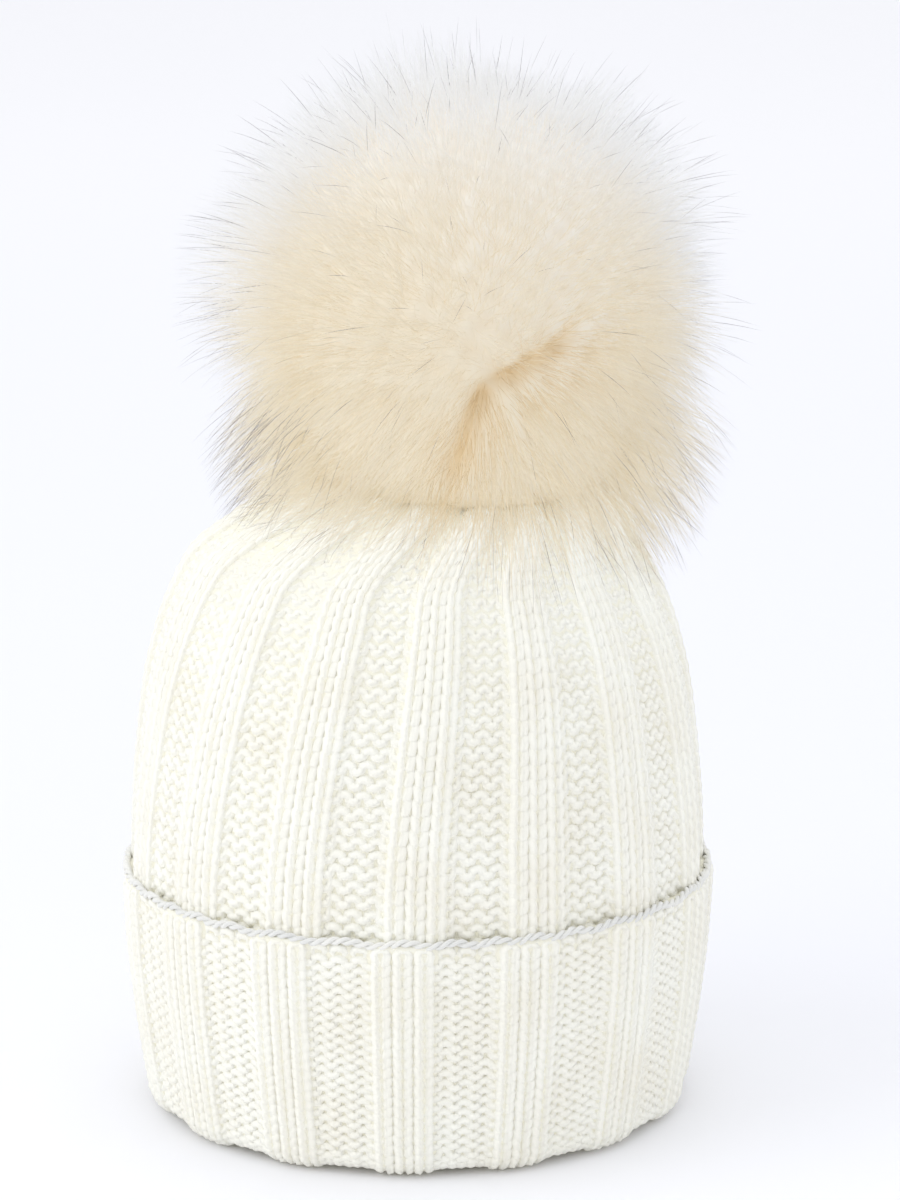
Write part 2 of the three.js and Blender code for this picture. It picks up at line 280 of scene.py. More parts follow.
def yarn_finish(name, light, shade):
    """Spun yarn: fine slanted plies round the strand, loose fibres, and a slow change of tone over the knit."""
    f = Finish(name, 0.92, Sheen_Weight=0.3, Sheen_Roughness=0.6)
    plies = f.node("TexWave", wave_type="BANDS", bands_direction="DIAGONAL", Scale=1.0, Distortion=1.2, Detail=2.0)
    f.link(f.place((0.9, 1.1, 1), uv=True), plies.inputs["Vector"])
    fibres = f.noise(f.place(), 1500.0, 3.0)
    colour = f.between(f.noise(f.place(), 45.0, 3.0), shade, light)
    normal = f.bump(fibres, 0.35, 0.0006, f.bump(plies.outputs["Fac"], 0.3, 0.0004))
    return f.done(colour, normal)


def cloth_finish(name, light, shade, grain=900.0, depth=0.0004, roughness=0.95):
    """A matt fibrous cloth: two sizes of noise in the colour and in the bump."""
    f = Finish(name, roughness)
    fine = f.noise(f.place(), grain, 4.0)
    broad = f.noise(f.place(), grain / 12, 2.0)
    colour = f.between(f.mix(0.5, fine, broad), shade, light, 0.35, 0.65)
    return f.done(colour, f.bump(fine, 0.6, depth))


def fur_finish():
    """Faux fur: each hair's own tint along its length, with light coming through from behind."""
    f = Finish("faux_fur_pile", 0.6, Specular_IOR_Level=0.2)
    tint = f.node("Attribute", attribute_name="tint")
    uneven = f.noise(f.place(), 220.0, 2.0)
    colour = f.mix(uneven, f.mix(1.0, tint.outputs["Color"], (0.97, 0.96, 0.945), "MULTIPLY"), tint.outputs["Color"])
    f.done(colour)
    through = f.node("BsdfTranslucent")
    f.link(colour, through.inputs["Color"])
    both = f.node("MixShader", Fac=0.12)
    f.link(f.shader.outputs[0], both.inputs[1])
    f.link(through.outputs[0], both.inputs[2])
    f.link(both.outputs[0], f.tree.nodes["Material Output"].inputs["Surface"])
    return f.material


def metal_finish():
    """Nickel plate: faint brushed turning marks round the axis of the snap."""
    f = Finish("nickel_plate", 0.28, Metallic=1.0)
    marks = f.noise(f.place((1, 1, 30)), 400.0, 3.0)
    rough = f.node("MapRange", To_Min=0.2, To_Max=0.42)
    f.link(marks, rough.inputs["Value"])
    f.link(rough.outputs["Result"], f.shader.inputs["Roughness"])
    return f.done(f.between(marks, linear("a9a9a8"), linear("cfcfcd")), f.bump(marks, 0.15, 0.0001))


IVORY = yarn_finish("ivory_yarn", linear("fcfbf1"), linear("f8f5e8"))
# Painted shade: the bound-off edge's yarn is a greyer, darker copy of the ivory yarn.
SHADED_EDGE_YARN = yarn_finish("edge_yarn", linear("f0efe9"), linear("e2e2df"))
INSIDE = cloth_finish("knit_reverse", linear("f8f6e8"), linear("f5f2e0"), 700.0, 0.0008)
FUR = fur_finish()
FELT = cloth_finish("pressed_felt", linear("ece6d4"), linear("dcd4be"))
BACKING = cloth_finish("backing_cloth", linear("e9dfc8"), linear("d8cbae"), 1200.0)
FILL = cloth_finish("fibre_fill", linear("fbfaf6"), linear("ecebe6"), 500.0, 0.001, 1.0)
SATIN = cloth_finish("satin_ribbon", linear("f7f6f2"), linear("efeee8"), 2500.0, 0.00005, 0.4)
NICKEL = metal_finish()

# ---- the knit ----
body_skin = Skin(smooth_path(BODY_KNOTS))


def cuff_outline():
    """Down the outside of the cuff, round its bottom fold and a little way up inside the hat."""
    z = np.linspace(CUFF_HEIGHT - 1.4 * CUFF_EDGE, CORNER, 40)
    wall = np.stack([CUFF_FOOT + (CUFF_TOP - CUFF_FOOT) * np.sin(z / CUFF_HEIGHT * TURN / 4), z], 1)
    a = np.linspace(0, -TURN / 4, 14)[1:]
    outer = wall[-1, 0]
    fold = np.stack([outer - CORNER + CORNER * np.cos(a), CORNER + CORNER * np.sin(a)], 1)
    inner = np.array([(80.6, 0.0), (78.6, 1.6), (78.2, 4.0), (78.8, 9.0)])
    return even(np.concatenate([wall, fold, inner]), 400)[::-1]


cuff_skin = Skin(cuff_outline(), leaning=False)


def panel(stitch):
    """1 on a knit panel and -1 on a purl one, changing over within about one stitch."""
    phase = (stitch / RIB) * math.pi
    return np.clip(np.cos(phase) * 2.6, -1, 1)


def pull(angle, s, skin):
    """How far the gathered crown has dragged the ribs round the hat: towards +X and the front, more with height."""
    z = np.interp(s, skin.s, skin.z)
    r = np.maximum(np.interp(s, skin.s, skin.r), 30)
    amount = 8.0 * ease((z - 84) / 120) if skin.leaning else 0
    return angle + (-np.sin(angle) - np.cos(angle)) * amount / r


def stitched_rows(skin, first, count, course, loop, depth, relief, yarn, sunk, turn, steps=12, sides=5):
    """Rows of stitches, each one yarn that runs right round: along = t + slack sin 2t, up = loop cos t, and out
    = -depth cos 2t on a knit stitch and + on a purl one, for a turn of t per stitch. Small random changes of
    size from stitch to stitch keep it hand-like."""
    t = np.arange(STITCHES * steps) / steps
    row = np.arange(count)[:, None]
    jitter = rng.normal(size=(3, count, STITCHES))
    near = np.floor(t + 0.5).astype(int) % STITCHES
    wave = np.cos(TURN * (t - np.floor(t + 0.5)) / 2) ** 2
    vary = jitter[:, :, near] * wave
    face = panel(t)
    s = first + course * row + loop * np.cos(TURN * t) + 0.16 * vary[0]
    r = np.interp(np.clip(s, 0, skin.length), skin.s, skin.r)
    squeeze = np.clip(r / 90, 0.25, 1.05)
    along = t + 0.165 * np.sin(2 * TURN * t) + 0.02 * vary[1]
    angle = pull(turn + along * TURN / STITCHES, s, skin)
    lift = -face * depth * np.cos(2 * TURN * t) + relief * (face - 1) / 2 * (2.4 - 1.4 * squeeze)
    size = yarn * (0.3 + 0.7 * squeeze) * (1 + 0.04 * vary[2])
    centres, normals = skin.at(angle, s, lift - sunk)
    return loop_yarns(centres, normals, size * MM, sides, STITCHES * 3)


def knit_shell(skin, start, end, sunk, thick, turn, relief, rows=90):
    """The knit behind the yarns: an outer grid that follows the ribs' relief, an inner grid at an even depth,
    and a strip closing each end."""
    columns = STITCHES * 4
    s = np.linspace(start, end, rows)[:, None]
    t = np.arange(columns) / 4
    angle = pull(turn + t * TURN / STITCHES, s, skin)
    gathered = 1 - np.clip(np.interp(s, skin.s, skin.r) / 70, 0, 1)
    outer = skin.at(angle, s, relief * (panel(t) - 1) / 2 - sunk - 1.6 * gathered)[0]
    inner = skin.at(angle, s, np.full((rows, columns), -thick))[0]
    ring = np.concatenate([outer, inner[::-1]])
    quads = grid_faces(2 * rows, columns, True, True)[:, ::-1]
    return ring.reshape(-1, 3), quads


def build_body():
    points, quads = knit_shell(body_skin, 0.3, body_skin.length - 3, BODY_SUNK - BACKING_RISE, BODY_THICK, FRONT,
                               BODY_RELIEF)
    cloth = mesh_piece("knit_body_cloth", points, quads, material=INSIDE)
    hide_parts("knit_body", "knit_crown")
    first = float(np.interp(ROWS_START, body_skin.z, body_skin.s))
    rows = int((body_skin.length - 8 - first) / BODY_COURSE)
    yarns, done, part = [], 0, 0
    while done < rows:
        count = min(14, rows - done)
        part += 1
        points, quads, uv = stitched_rows(body_skin, first + done * BODY_COURSE, count, BODY_COURSE, 3.6, 0.62,
                                          BODY_RELIEF, YARN, BODY_SUNK, FRONT)
        yarns.append(mesh_piece(f"body_yarn_{part}", points, quads, uv=uv, material=IVORY))
        done += count
    return cloth


def build_cuff():
    turn = FRONT - CUFF_SHIFT
    length = cuff_skin.length
    points, quads = knit_shell(cuff_skin, 0, length, CUFF_SUNK - BACKING_RISE, CUFF_THICK, turn, CUFF_RELIEF, 60)
    cloth = mesh_piece("cuff_cloth", points, quads, material=INSIDE)
    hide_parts("cuff")
    rows = int((length - 2) / CUFF_COURSE)
    half = rows // 2
    for part, (start, count) in enumerate(((0, half), (half, rows - half)), 1):
        points, quads, uv = stitched_rows(cuff_skin, 4.0 + start * CUFF_COURSE, count, CUFF_COURSE, 3.0, 0.62,
                                          CUFF_RELIEF, YARN * 0.93, CUFF_SUNK, turn)
        mesh_piece(f"cuff_yarn_{part}", points, quads, uv=uv, material=IVORY)
    return cloth


def rope_ring(name, radius_x, radius_y, z, centre_x, strand, offset, turns, material, body, node,
              strands=2, wave=0.0, steps=None, sides=6):
    """Strands twisted round an oval ring: each centre-line is the oval plus offset times (cos b outwards +
    sin b upwards), where b turns many times on the way round."""
    steps = steps or turns * 8
    a = np.arange(steps) / steps * TURN
    out = unit(np.stack([np.cos(a) / radius_x, np.sin(a) / radius_y, 0 * a], -1))
    height = z + wave * np.sin(a * 37 + 2 * np.sin(a * 5))
    base = np.stack([centre_x + radius_x * np.cos(a), radius_y * np.sin(a), height], -1)
    b = a * turns + np.arange(strands)[:, None] * TURN / strands
    up = np.array([0, 0, 1.0])
    centres = base + offset * (np.cos(b)[..., None] * out + np.sin(b)[..., None] * up)
    points, quads, uv = loop_yarns(centres * MM, np.broadcast_to(out, centres.shape), strand * MM, sides, turns)
    piece = mesh_piece(name, points, quads, uv=uv, material=material, body=body)
    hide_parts(node)
    return piece


def build_edge():
    """The bound-off edge: two strands twisted round the top of the cuff."""
    radius = CUFF_TOP - 2.5
    rope_ring("cuff_edge_loops", radius, radius * DEPTH_RATIO, CUFF_HEIGHT - 2.7, 0, 0.75, 0.7, 83, SHADED_EDGE_YARN, "hat",
              "cuff_edge", wave=0.6)


# ---- fur ----
POM_CENTRE = np.array([CROWN_X, 0, 273.0])
CORE = 44.0
WHORL = unit(np.array([0.12, -0.93, -0.33]))      # where the pile parts, low on the front
PART_DOWN = unit(np.array([-0.07, -0.76, -0.72]))
PART_RIGHT = unit(np.array([0.50, -0.86, -0.12]))
FUR_WIDE, FUR_HIGH, FUR_LOW = 90.0, 79.0, 120.0      # how far the pile reaches from the middle of the ball
FUR_LIMIT = 96.0                                     # no hair ends further out than this
UNDERCOAT, ROOT = 62.0, 57.0                        # the dense fur, and where the long hairs start inside it
GUARD_LOW = -0.93                                   # the longest hairs stop this low under the ball


def ball_points(count, low=-0.90):
    """Directions spread evenly over a ball in a golden-angle spiral, from just above its mouth to its top."""
    k = np.arange(count) + 0.5
    z = low + (1 - low) * k / count
    a = k * TURN * 0.6180339887
    r = np.sqrt(1 - z * z)
    return np.stack([r * np.cos(a), r * np.sin(a), z], -1)


def parting(n, a, b, width):
    """How near each direction is to the arc from a to b (1 on it, 0 away), and which way leads off it."""
    across = unit(np.cross(a, b))
    side = n @ across
    mid = unit(a + b)
    reach = ease(((n @ mid) - (a @ mid) + 0.03) / 0.05)
    return np.exp(-((side / width) ** 2)) * reach, np.sign(side)[:, None] * across


def comb(n):
    """Which way the pile lies: away from the whorl, off the partings, and down a little under its own weight."""
    away = n * (n @ WHORL)[:, None] - WHORL
    d = np.linalg.norm(away, axis=1, keepdims=True)
    away = away / np.maximum(d, 0.08)
    for end in (PART_DOWN, PART_RIGHT):
        near, off = parting(n, WHORL, end, 0.09)
        away = away + 0.6 * near[:, None] * off
    return away - n * (away * n).sum(1, keepdims=True)


def settled(n):
    """0 on most of the ball, rising to 1 underneath, where the fur is pressed down over the crown."""
    return ease((-n[:, 2] - 0.42) / 0.4)


def reach(n):
    """How far the pile comes in a direction: a ball flatter above than below."""
    high = np.where(n[:, 2] > 0, FUR_HIGH, FUR_LOW)
    tousled = 1 + 0.05 * np.sin(n @ [5.1, 3.3, -4.2] + 1) + 0.04 * np.sin(n @ [-8.3, 6.1, 7.4])
    return tousled / np.sqrt((n[:, 0] ** 2 + n[:, 1] ** 2) / FUR_WIDE**2 + (n[:, 2] / high) ** 2)


def off_the_knit(path, clear):
    """Lifts every point that is under the crown's surface to a little above it. The surface's height is read off
    the body's outline at the point's distance from the leaning middle."""
    r, z = body_skin.r[::-1], body_skin.z[::-1]
    far = np.hypot(path[..., 0] - lean(path[..., 2]), path[..., 1] / DEPTH_RATIO)
    ground = np.where(far < 93, np.interp(far, r[z > 100], z[z > 100]) + clear, 0)
    path[..., 2] = np.maximum(path[..., 2], ground)
    return path


def hairs(n, length, lay, droop, thick, points_each=5, clump=None, wild=0.1, sway=None):
    """Each hair starts at the ball's core, leaves along its root's direction and turns over towards the way the
    pile lies: step direction = cos(bend) n + sin(bend) comb, with bend growing along the hair, plus a droop
    and a random stray. A clump draws its hairs' ends together, and sway gives each clump a way of its own."""
    count = len(n)
    way = comb(n) + rng.normal(size=(count, 3)) * wild
    if sway is not None:
        way = way + sway[clump[0]]
    way = way - n * (way * n).sum(1, keepdims=True)
    way = unit(way) * np.minimum(1, np.linalg.norm(way, axis=1))[:, None]
    skirt = 0.85 * ease((-n[:, 2:] - 0.3) / 0.4)     # under the ball the crown pushes the pile outwards
    u = np.linspace(0, 1, points_each)
    path = [POM_CENTRE + n * (ROOT + 19 * settled(n)[:, None] + rng.uniform(-4, 3, (count, 1)))]
    for a, b in zip(u[:-1], u[1:]):
        bend = lay * ((a + b) / 2) ** 0.25
        step = np.cos(bend)[:, None] * n + np.sin(bend)[:, None] * way
        step[:, :2] += skirt * n[:, :2]
        step[:, 2] -= droop * (a + b) / 2 * (1 + 3.0 * ease(-n[:, 2] * 1.7))
        path.append(path[-1] + unit(step) * (length * (b - a))[:, None])
    path = np.stack(path, 1)
    if clump is not None:
        centre, pull_in = clump
        sums = np.zeros((centre.max() + 1, points_each, 3))
        np.add.at(sums, centre, path)
        mean = sums / np.maximum(np.bincount(centre), 1)[:, None, None]
        path = path + (mean[centre] - path) * (pull_in * u**1.6)[None, :, None]
    off = path - POM_CENTRE
    tall = off[..., 2] * np.where(off[..., 2] > 0, 1.02, 0.7)
    over = np.hypot(np.hypot(off[..., 0], off[..., 1]), tall)[:, 1:].max(1)
    shrink = np.minimum(1, (FUR_LIMIT - ROOT) / np.maximum(over - ROOT, 1))
    path = path[:, :1] + (path - path[:, :1]) * shrink[:, None, None]
    return hair_tubes(off_the_knit(path, 0.8), thick)


def hair_tubes(path, thick):
    """Three-sided tubes that narrow to a point, with the root end closed."""
    count, k = path.shape[:2]
    along = unit(np.gradient(path, axis=1))
    side = unit(np.cross(along, rng.normal(size=(count, 1, 3))))
    up = np.cross(along, side)
    a = np.arange(3) * TURN / 3
    taper = (1 - 0.75 * np.linspace(0, 1, k)[:-1] ** 2)
    ring = side[:, :-1, None] * np.cos(a)[:, None] + up[:, :-1, None] * np.sin(a)[:, None]
    tubes = path[:, :-1, None] + ring * (thick[:, None] * taper)[:, :, None, None]
    points = np.concatenate([tubes.reshape(count, -1, 3), path[:, -1:]], 1)
    each = (k - 1) * 3 + 1
    i, j = np.arange(k - 2)[:, None] * 3, np.arange(3)[None]
    j2 = (j + 1) % 3
    quad = np.stack([i + j, i + j2, i + 3 + j2, i + 3 + j], -1).reshape(-1, 4)
    last = (k - 2) * 3
    tri = np.stack([last + j[0], last + j2[0], np.full(3, each - 1)], -1)
    tri = np.concatenate([tri, [[2, 1, 0]]])
    start = (np.arange(count) * each)[:, None, None]
    return points.reshape(-1, 3) * MM, (quad + start).reshape(-1, 4), (tri + start).reshape(-1, 3)


CREAM, WARM, WHITE = (np.array(linear(c)) for c in ("f6ebd3", "eedcb5", "fafaf9"))
OCHRE = np.array(linear("e9cb9a"))
GREY_TIP = np.array(linear("66525a"))


def pile_tint(n, k, tone, dark=None):
    """A hair's colour at its k points: ochre at the root, cream along it and white at the tip, whiter over the
    top and the right of the ball, a lock's tone mixing in more ochre, and with a dark end on guard hairs."""
    u = np.linspace(0, 1, k)[None, :, None]
    high = ease((0.8 - n @ WHORL + n[:, 2] * 0.4 + n[:, 0] * 0.12) / 1.1)[:, None, None]
    pale = CREAM * (1 - high) + WHITE * high
    root = WARM * (1 - 0.6 * high) + pale * 0.6 * high
    # Painted shade in the partings: there the roots go deeper ochre and the ochre runs further along each hair.
    crease = np.maximum(*(parting(n, WHORL, end, 0.11)[0] for end in (PART_DOWN, PART_RIGHT)))[:, None, None]
    root = root + (OCHRE - root) * 0.8 * crease
    root = root + (OCHRE - root) * tone[:, None, None] * (1 - high)
    colour = root + (pale - root) * ease(u * (1.9 - 1.1 * crease))
    colour = colour + (WHITE - colour) * ease((u - 0.55) / 0.45) * (0.15 + 0.85 * high)
    colour = colour * rng.uniform(0.94, 1.03, (len(n), 1, 1))
    if dark is not None:
        end = ease((u - dark[:, None, None]) / 0.12)
        colour = colour * (1 - end) + GREY_TIP * end
    return np.clip(colour, 0, 0.98)


def tint_rings(colour):
    """Three copies of each point's colour for its ring, and one for the tip."""
    rings = np.repeat(colour[:, :-1], 3, axis=1)
    return np.concatenate([rings, colour[:, -1:]], 1).reshape(-1, 3)


def airy(piece):
    """Pile this fine and pale lets the light through to what is under it."""
    piece.visible_shadow = piece.visible_diffuse = False
    return piece


def build_pile():
    groups, each, locks = 5, 8200, 1100
    total = groups * each
    n = ball_points(total)
    n = unit(n + rng.normal(size=n.shape) * 0.012)
    n = n[rng.permutation(total)]
    centres = unit(ball_points(locks) + rng.normal(size=(locks, 3)) * 0.05)
    clump = np.concatenate([np.argmax(part @ centres.T, 1) for part in np.array_split(n, 12)])
    sway = rng.normal(size=(locks, 3)) * 0.38
    tone = rng.uniform(0, 0.6, locks) ** 1.5
    facing = n @ WHORL
    length = (reach(n) - ROOT) * rng.uniform(0.86, 1.12, locks)[clump] * rng.uniform(0.35, 1.0, total) ** 0.7
    lay = np.radians(22 + 50 * ease((facing + 0.4) / 1.2)) * rng.uniform(0.65, 1.3, total)
    pieces = []
    for g in range(groups):
        pick = slice(g * each, (g + 1) * each)
        points, quads, tris = hairs(n[pick], length[pick] * 1.1, lay[pick], 0.3, rng.uniform(0.045, 0.08, each),
                                       clump=(clump[pick], 0.17), wild=0.36, sway=sway)
        tint = tint_rings(pile_tint(n[pick], 5, tone[clump[pick]]))
        pieces.append(airy(mesh_piece(f"fur_pile_{g + 1}", points, quads, tris, tint=tint,
                                      material=FUR, body="pom")))
    return pieces


def build_guard_hairs():
    """Longer, finer hairs with dark ends, some all over the ball and more in a few patches near its edge."""
    tuft, spread_count, patch_count = 150, 460, 40
    patches = [(-0.78, -0.32, -0.55), (-0.45, -0.35, 0.80), (0.05, -0.30, 0.95), (0.80, -0.2, 0.60),
               (0.75, -0.35, -0.55), (-0.95, -0.2, 0.05), (0.1, -0.55, -0.83), (0.6, 0.7, 0.3),
               (-0.5, -0.45, -0.75), (0.5, -0.5, -0.7), (-0.5, 0.8, 0.3)]
    spread = ball_points(spread_count, GUARD_LOW) + rng.normal(size=(spread_count, 3)) * 0.1
    near = np.concatenate([unit(np.array(p)) + rng.normal(size=(tuft if k == 0 else patch_count, 3)) * 0.18
                           for k, p in enumerate(patches)])
    n = unit(np.concatenate([spread, near]))
    dark = rng.uniform(0.5, 0.8, len(n))
    dark[spread_count:spread_count + tuft] -= 0.1
    kept = n[:, 2] > GUARD_LOW
    dark, n = dark[kept], n[kept]
    count = len(n)
    length = (reach(n) - ROOT) * rng.uniform(0.6, 1.5, count)
    lay = np.radians(16 + 26 * ease((n @ WHORL + 0.3) / 1.1)) * rng.uniform(0.6, 1.3, count)
    points, quads, tris = hairs(n, length, lay, 0.35, rng.uniform(0.06, 0.1, count), 7, wild=0.85)
    tint = tint_rings(pile_tint(n, 7, np.zeros(count), dark))
    return airy(mesh_piece("fur_guard_hairs", points, quads, tris, tint=tint, material=FUR,
                           body="pom"))


def build_underfur():
    """The dense short fur under the pile: a ball whose radius falls in the partings and between the locks."""
    rows, columns = 90, 180
    z = -np.cos(np.linspace(math.radians(27), math.pi - 0.001, rows))
    a = np.arange(columns) * TURN / columns
    r = np.sqrt(1 - z * z)[:, None]
    n = np.stack(np.broadcast_arrays(r * np.cos(a), r * np.sin(a), z[:, None]), -1).reshape(-1, 3)
    locks = np.sin(n @ [31, 17, 9]) * np.sin(n @ [-11, 23, 29])
    locks = locks + 0.6 * np.sin(n @ [-47, 5, 38]) * np.sin(n @ [21, -52, 13])
    crease = np.maximum(*(parting(n, WHORL, end, 0.06)[0] for end in (PART_DOWN, PART_RIGHT)))
    under = settled(n)
    radius = UNDERCOAT + 0.5 * locks - 4.5 * crease * (1 - under) + 14 * under
    outer = off_the_knit(POM_CENTRE + n * radius[:, None], -2.2) * MM
    inner = (POM_CENTRE + n * (CORE + 0.5)) * MM
    grid = np.concatenate([outer.reshape(rows, columns, 3), inner.reshape(rows, columns, 3)[::-1]])
    quads = grid_faces(2 * rows, columns, True, True)[:, ::-1]
    top = ease((n[:, 2] * 0.8 + n[:, 0] * 0.45 + 0.25) / 1.1)[:, None]
    shade = CREAM * (1 - 0.6 * top) + WHITE * 0.6 * top
    # Painted shade: deeper ochre in the partings and between the locks, where the coat dips.
    shade = shade + (OCHRE - shade) * (0.75 * crease + 0.1 * (1 - locks)).clip(0, 1)[:, None]
    tint = np.concatenate([shade, np.repeat(CREAM[None], len(n), 0)])
    piece = mesh_piece("fur_undercoat", grid.reshape(-1, 3), quads, tint=tint, material=FUR, body="pom")
    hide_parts("pom_fur")
    return piece


# ---- hidden pieces ----
def turned(name, outline, material, body, node, centre=(0, 0), sides=64, ripple=0.0):
    """A closed outline of radius and height, anticlockwise, turned about the upright axis of the snap, with an
    optional fine unevenness of its surface."""
    p = np.array(outline, float)
    a = np.arange(sides) * TURN / sides
    r = p[:, :1] + ripple * np.sin(a * 17 + p[:, 1:] * 3) * np.sin(a * 5)
    x = centre[0] + r * np.cos(a)
    y = centre[1] + r * np.sin(a)
    z = np.broadcast_to(p[:, 1:], x.shape)
    points = np.stack([x, y, z], -1) * MM
    quads = grid_faces(len(p), sides, True, True)[:, ::-1]
    piece = mesh_piece(name, points.reshape(-1, 3), quads, material=material, body=body)
    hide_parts(node)
    return piece


def rounded_slab(inner, outer, low, high, edge, steps=5):
    """The outline of a washer with a rounded rim."""
    a = np.linspace(-TURN / 4, TURN / 4, 2 * steps + 1)
    mid, half = (low + high) / 2, (high - low) / 2
    rim = [(outer - edge + edge * math.cos(t), mid + half * math.sin(t)) for t in a]
    return [(inner, low), (outer * 0.5, low), *rim, (outer * 0.5, high), (inner, high)]


def build_hidden():
    c = (CROWN_X, 0)
    low, high = (v / MM for v in (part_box("crown_patch")[0][2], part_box("crown_patch")[1][2]))
    turned("crown_patch_felt", rounded_slab(2.3, 17, low, high, 0.7), FELT, "hat", "crown_patch", c,
           ripple=0.15)
    low, high = (v / MM for v in (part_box("pom_base")[0][2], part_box("pom_base")[1][2]))
    turned("pom_base_felt", rounded_slab(2.3, 17, low, high, 0.9), FELT, "pom", "pom_base", c, ripple=0.12)
    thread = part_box("crown_gather_thread")
    rope_ring("crown_gather_yarn", 10, 10, (thread[0][2] + thread[1][2]) / 2 / MM, CROWN_X, 0.5, 0.45, 22, IVORY,
              "hat", "crown_gather_thread")
    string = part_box("pom_drawstring")
    rope_ring("pom_drawcord", 18.3, 18.3, (string[0][2] + string[1][2]) / 2 / MM, CROWN_X, 0.5, 0.45, 40, BACKING,
              "pom", "pom_drawstring")


def build_ball_core():
    """The backing cloth, a ball drawn into pleats at its mouth, and the fill inside it."""
    def ball(radius, start, rows, columns, pleat):
        t = np.linspace(start, math.pi, rows)[:, None]
        a = np.arange(columns) * TURN / columns
        r = radius * np.sin(t) + pleat * np.cos(a * 18) * np.exp(-(t - start) * 7)
        r[-1] = 0.05
        z = -radius * np.cos(t) + 0 * a
        return np.stack([r * np.cos(a), r * np.sin(a), z], -1)

    rows, columns = 40, 144
    start = math.asin(19.6 / CORE)
    outer, inner = ball(CORE, start, rows, columns, 0.6), ball(CORE - 1.6, start, rows, columns, 0.6)
    skin = (np.concatenate([outer, inner[::-1]]) + POM_CENTRE) * MM
    cloth = mesh_piece("pom_backing", skin.reshape(-1, 3), grid_faces(2 * rows, columns, True, True)[:, ::-1],
                       material=BACKING, body="pom")
    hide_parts("pom_skin")

    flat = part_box("pom_stuffing")[0][2] / MM - POM_CENTRE[2]
    fill = ball(41.4, 0.0, 36, 72, 0)
    fill[0, :, :2] *= 0
    bulge = 0.5 * np.sin(fill[..., 0] / 5) * np.sin(fill[..., 1] / 6) * np.sin(fill[..., 2] / 5)
    fill = fill + unit(fill) * (bulge - 0.4)[..., None]
    fill[..., 2] = np.maximum(fill[..., 2], flat)
    points = (fill + POM_CENTRE) * MM
    pad = mesh_piece("pom_fill", points.reshape(-1, 3), grid_faces(36, 72, False, True)[:, ::-1], material=FILL,
                     body="pom")
    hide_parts("pom_stuffing")


def build_seams():
    """The back seam is a ridge of overlocked yarn inside the hat: a twisted pair of strands up the back."""
    def ridge(name, node, depth, spread, yarn, pitch=3.2):
        ends = (corner[2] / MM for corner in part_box(node))
        start, end = (float(np.interp(z, body_skin.z, body_skin.s)) for z in ends)
        s = np.arange(start, end, pitch / 8)
        b = (s - start) / pitch * TURN
        rows = []
        for phase in (0, TURN / 2):
            sway = spread * np.cos(b + phase)
            r = np.interp(s, body_skin.s, body_skin.r)
            p, n = body_skin.at(TURN / 4 + sway / r, s, -depth + 0.5 * np.sin(b + phase))
            rows.append((p, n))
        points = np.stack([p for p, _ in rows])
        ups = np.stack([n for _, n in rows])
        verts, quads, uv = open_yarns(points, ups, yarn * MM, 6)
        piece = mesh_piece(name, verts, quads[0], quads[1], uv=uv, material=IVORY)
        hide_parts(node)

    ridge("back_seam_yarn", "back_seam", 7.1, 1.4, 0.8)
    ridge("cuff_seam_yarn", "cuff_seam", -0.9, 1.5, 0.35)


def open_yarns(centres, up, radius, sides):
    """Tubes along open lines, each end closed by one flat face."""
    rows, steps = centres.shape[:2]
    along = unit(np.gradient(centres, axis=1))
    up = unit(up - along * (up * along).sum(-1, keepdims=True))
    side = np.cross(along, up)
    a = np.arange(sides) * TURN / sides
    ring = side[:, :, None] * np.cos(a)[:, None] + up[:, :, None] * np.sin(a)[:, None]
    points = (centres[:, :, None] + ring * radius).reshape(-1, 3)
    i, j = np.arange(steps - 1)[:, None] * sides, np.arange(sides)[None]
    j2 = (j + 1) % sides
    quad = np.stack([i + j, i + sides + j, i + sides + j2, i + j2], -1).reshape(-1, 4)
    quads = (quad[None] + (np.arange(rows) * steps * sides)[:, None, None]).reshape(-1, 4)
    fan = np.stack([np.zeros(sides - 2, int), np.arange(1, sides - 1), np.arange(2, sides)], -1)
    last = (steps - 1) * sides
    caps = np.concatenate([fan, (fan + last)[:, ::-1]])
    caps = (caps[None] + (np.arange(rows) * steps * sides)[:, None, None]).reshape(-1, 3)
    u = np.broadcast_to(j / sides, (steps - 1, sides))
    v = np.broadcast_to(i / sides / 8, (steps - 1, sides))
    uv = np.stack([np.stack([u, v], -1), np.stack([u, v + 1 / 8], -1), np.stack([u + 1 / sides, v + 1 / 8], -1),
                   np.stack([u + 1 / sides, v], -1)], 2).reshape(-1, 2)
    uv = np.concatenate([np.tile(uv, (rows, 1)), np.zeros((caps.size, 2))])
    return points, (quads, caps), uv


def build_label():
    """A folded satin tab: one ribbon that runs down, turns back on itself in a soft fold and runs up again."""
    box = np.array(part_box("care_label")) / MM
    width, y = 22.0, box[:, 1].mean()
    low, high = box[0][2] + 0.8, box[1][2]
    gap, thick = 0.55, 0.22
    down = np.stack([np.full(24, y - gap), np.linspace(high, low, 24)], 1)
    a = np.linspace(math.pi, TURN, 9)[1:-1]
    fold = np.stack([y + gap * np.cos(a), low + gap * np.sin(a)], 1)
    up = np.stack([np.full(24, y + gap), np.linspace(low, high, 24)], 1)
    line = np.concatenate([down, fold, up])
    x = np.linspace(-width / 2, width / 2, 24)
    sway = 0.18 * np.sin(line[:, 1] / 7)[:, None] * np.cos(x / 6)
    sheet = np.stack(np.broadcast_arrays(x[None], line[:, :1] + sway, line[:, 1:]), -1) * MM
    tab = mesh_piece("care_label_ribbon", sheet.reshape(-1, 3), grid_faces(len(line), 24), material=SATIN)
    thicken = tab.modifiers.new("ribbon", "SOLIDIFY")
    thicken.thickness, thicken.offset = thick * MM, 0
    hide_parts("care_label")
    return tab


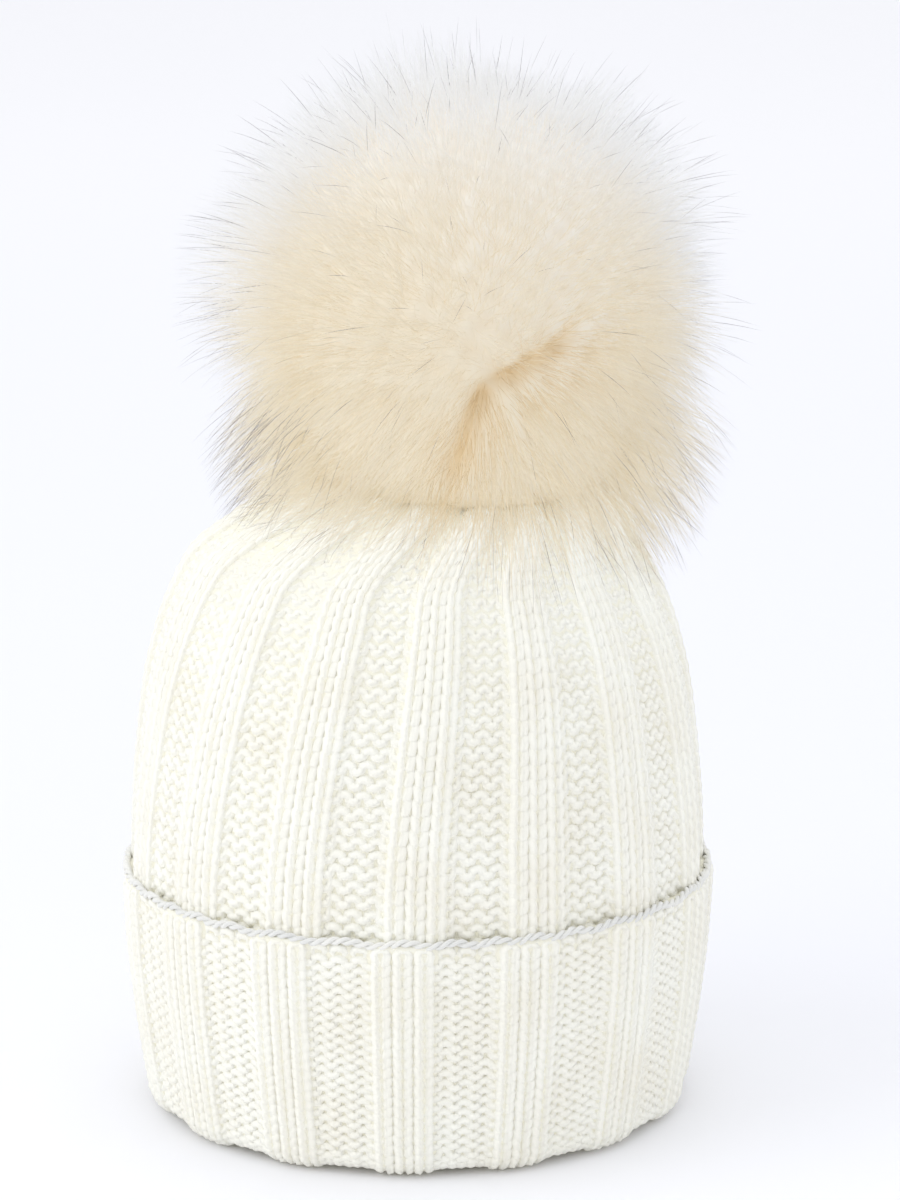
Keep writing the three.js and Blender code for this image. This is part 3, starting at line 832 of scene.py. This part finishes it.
def finish_metal():
    for node in ("snap_cap", "snap_stud", "snap_ring", "snap_socket", "socket_cap"):
        part = bpy.data.objects[node]
        for slot in part.material_slots:
            slot.link = "OBJECT"
            slot.material = NICKEL


# ---- studio ----
def area_light(name, place, aim, size, power):
    data = bpy.data.lights.new(name, "AREA")
    data.shape, data.size, data.energy = "SQUARE", size, power
    light = bpy.data.objects.new(name, data)
    light.location = place
    toward = np.array(aim) - np.array(place)
    light.rotation_euler = (math.atan2(math.hypot(toward[0], toward[1]), -toward[2]), 0,
                            math.atan2(-toward[0], toward[1]))
    bpy.context.scene.collection.objects.link(light)


def build_studio():
    """A seamless pale sweep, a bright even sky and soft boxes, the main one high on the left."""
    scene = bpy.context.scene
    scene.view_settings.view_transform = "Standard"
    world = bpy.data.worlds.new("studio")
    scene.world = world
    world.use_nodes = True
    sky = world.node_tree.nodes["Background"]
    sky.inputs["Color"].default_value = (0.95, 0.965, 1.0, 1)
    sky.inputs["Strength"].default_value = 0.98

    y = np.concatenate([np.linspace(-4, 6, 8), 6 + 1.5 * np.sin(np.linspace(0, TURN / 4, 12))[1:], [7.5]])
    z = np.concatenate([np.zeros(8), 1.5 - 1.5 * np.cos(np.linspace(0, TURN / 4, 12))[1:], [5.0]])
    x = np.array([-7.0, 7.0])
    points = np.stack(np.broadcast_arrays(x[None], y[:, None], z[:, None]), -1).reshape(-1, 3)
    paper = Finish("paper", 0.9)
    paper.shader.inputs["Base Color"].default_value = (0.868, 0.872, 0.91, 1)
    # The paper glows a little behind and in front of the hat, to even out what the lights give it.
    far = paper.node("SeparateXYZ")
    paper.link(paper.node("TexCoord").outputs["Object"], far.inputs["Vector"])
    paper.shader.inputs["Emission Color"].default_value = (1.0, 0.93, 0.7, 1)
    both = paper.node("Math")
    for k, (near, away, near_glow, away_glow) in enumerate(((0.3, 2.6, 0.0, 0.1), (-0.35, 0.3, 0.085, 0.0))):
        glow = paper.node("MapRange", interpolation_type="SMOOTHSTEP", From_Min=near, From_Max=away,
                          To_Min=near_glow, To_Max=away_glow)
        paper.link(far.outputs["Y"], glow.inputs["Value"])
        paper.link(glow.outputs["Result"], both.inputs[k])
    paper.link(both.outputs[0], paper.shader.inputs["Emission Strength"])
    mesh = bpy.data.meshes.new("paper_sweep")
    mesh.from_pydata(points.tolist(), [], grid_faces(len(y), 2).tolist())
    mesh.materials.append(paper.material)
    sweep = bpy.data.objects.new("paper_sweep", mesh)
    scene.collection.objects.link(sweep)
    area_light("key", (-1.9, -0.6, 1.3), (0, 0, 0.15), 2.0, 12)
    area_light("top", (0.3, 0.2, 2.0), (0, 0, 0.1), 1.6, 5)

    # The lens looks a little down at the hat from about 1.3 m.
    elevation, distance = math.radians(14), 1.3
    target = np.array([0.011, 0.0, 0.170])
    data = bpy.data.cameras.new("camera")
    data.lens, data.sensor_width = 118.5, 36
    camera = bpy.data.objects.new("camera", data)
    camera.location = target + distance * np.array([0, -math.cos(elevation), math.sin(elevation)])
    camera.rotation_euler = (TURN / 4 - elevation, 0, 0)
    scene.collection.objects.link(camera)
    scene.camera = camera


build_studio()
build_edge()
build_cuff()
build_body()
build_underfur()
build_pile()
build_guard_hairs()
build_hidden()
build_ball_core()
build_seams()
build_label()
finish_metal()
